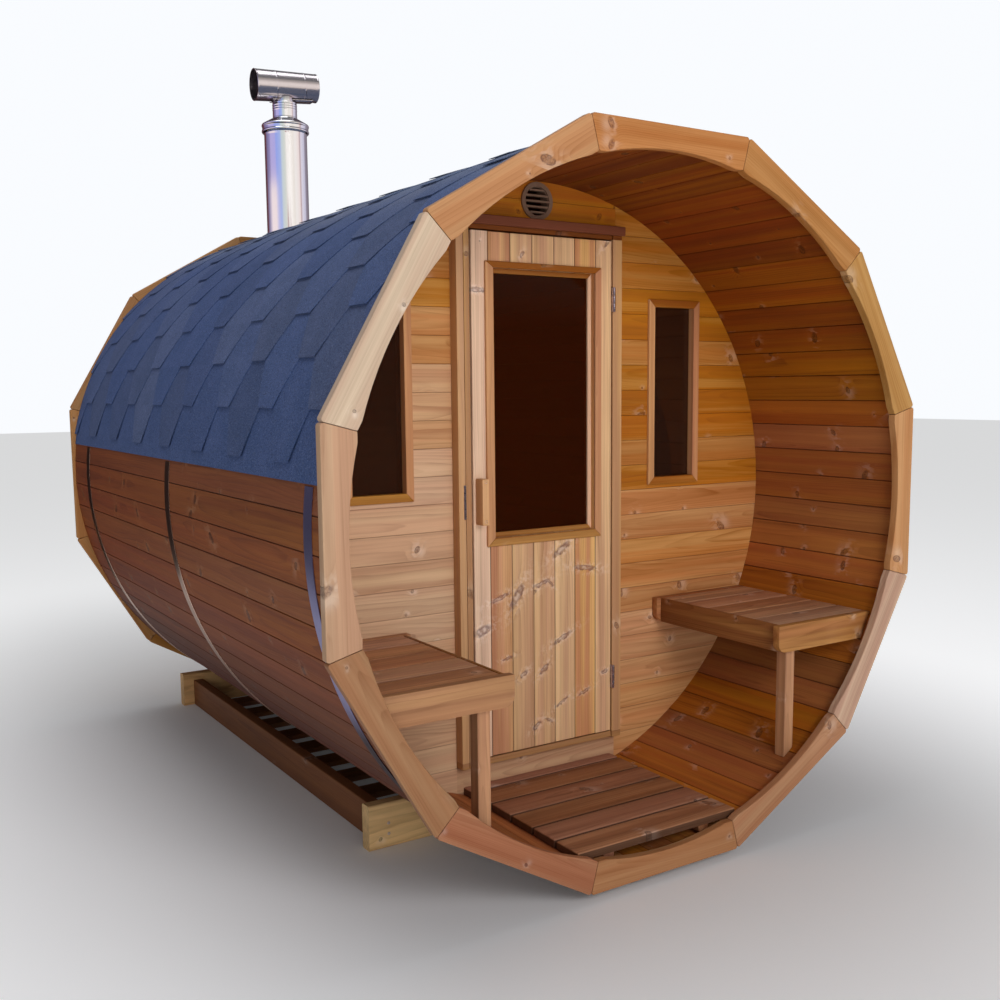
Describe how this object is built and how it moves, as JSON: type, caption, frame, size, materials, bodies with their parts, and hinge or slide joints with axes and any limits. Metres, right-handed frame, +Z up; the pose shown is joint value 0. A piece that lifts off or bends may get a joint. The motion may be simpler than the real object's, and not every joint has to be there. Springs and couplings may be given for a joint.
{
  "type": "barrel sauna",
  "caption": "Barrel-shaped timber sauna cabin with open porch, benches, hinged glazed door, felt shingle roof and steel chimney on a notched ground frame.",
  "frame": {"origin": "middle of the overall footprint at ground level", "axes": "+Z up, the porch opening looks towards -Y, the barrel lies along Y"},
  "size_m": [2.1926, 2.782, 2.8591],
  "materials": {
    "stave_wood": "matte oiled",
    "ring_wood": "matte oiled",
    "wall_wood": "matte oiled",
    "frame_wood": "matte oiled",
    "head_board_wood": "matte stained",
    "door_wood": "matte oiled",
    "trim_wood": "matte oiled",
    "tinted_glass": "smooth tinted",
    "handle_wood": "smooth oiled",
    "hardware_steel": "brushed",
    "band_steel": "rolled bright",
    "vent_plastic": "satin",
    "treated_wood": "pressure treated",
    "bearer_wood": "matte stained",
    "floor_wood": "matte oiled",
    "bench_wood": "matte oiled",
    "chimney_steel": "polished",
    "shingle_felt": "mineral grit"
  },
  "bodies": {
    "cabin": {"back_ring": "ring_wood", "back_wall": "wall_wood", "base_slats": "bearer_wood", "bearer_left": "bearer_wood", "bearer_right": "bearer_wood", "bench_left": "bench_wood", "bench_leg_left": "bench_wood", "bench_leg_right": "bench_wood", "bench_right": "bench_wood", "chimney_cone": "chimney_steel", "chimney_cowl": "chimney_steel", "chimney_neck": "chimney_steel", "chimney_pipe": "chimney_steel", "cradle_beam_front": "treated_wood", "cradle_beam_rear": "treated_wood", "door_frame": "frame_wood", "door_head_board": "head_board_wood", "front_ring": "ring_wood", "front_wall_left": "wall_wood", "front_wall_right": "wall_wood", "front_wall_sill": "wall_wood", "front_wall_top": "wall_wood", "hinge_frame_halves": "hardware_steel", "inside_floor": "floor_wood", "latch_strike": "hardware_steel", "porch_floor": "floor_wood", "roof_shingles": "shingle_felt", "stave_panel_01": "stave_wood", "stave_panel_02": "stave_wood", "stave_panel_03": "stave_wood", "stave_panel_04": "stave_wood", "stave_panel_05": "stave_wood", "stave_panel_06": "stave_wood", "stave_panel_07": "stave_wood", "steel_bands": "band_steel", "wall_vent": "vent_plastic", "window_left_frame": "trim_wood", "window_left_glass": "tinted_glass", "window_right_frame": "trim_wood", "window_right_glass": "tinted_glass"},
    "door": {"door_leaf": "door_wood", "door_glass": "tinted_glass", "door_glass_trim": "trim_wood", "door_handle": "handle_wood", "hinge_leaf_halves": "hardware_steel"}
  },
  "joints": [
    {"name": "door_hinge", "type": "hinge", "parent": "cabin", "child": "door", "pos_m": [0.2935, -0.751, 1.124], "axis": [0, 0, 1], "range_deg": [0, 95]}
  ]
}
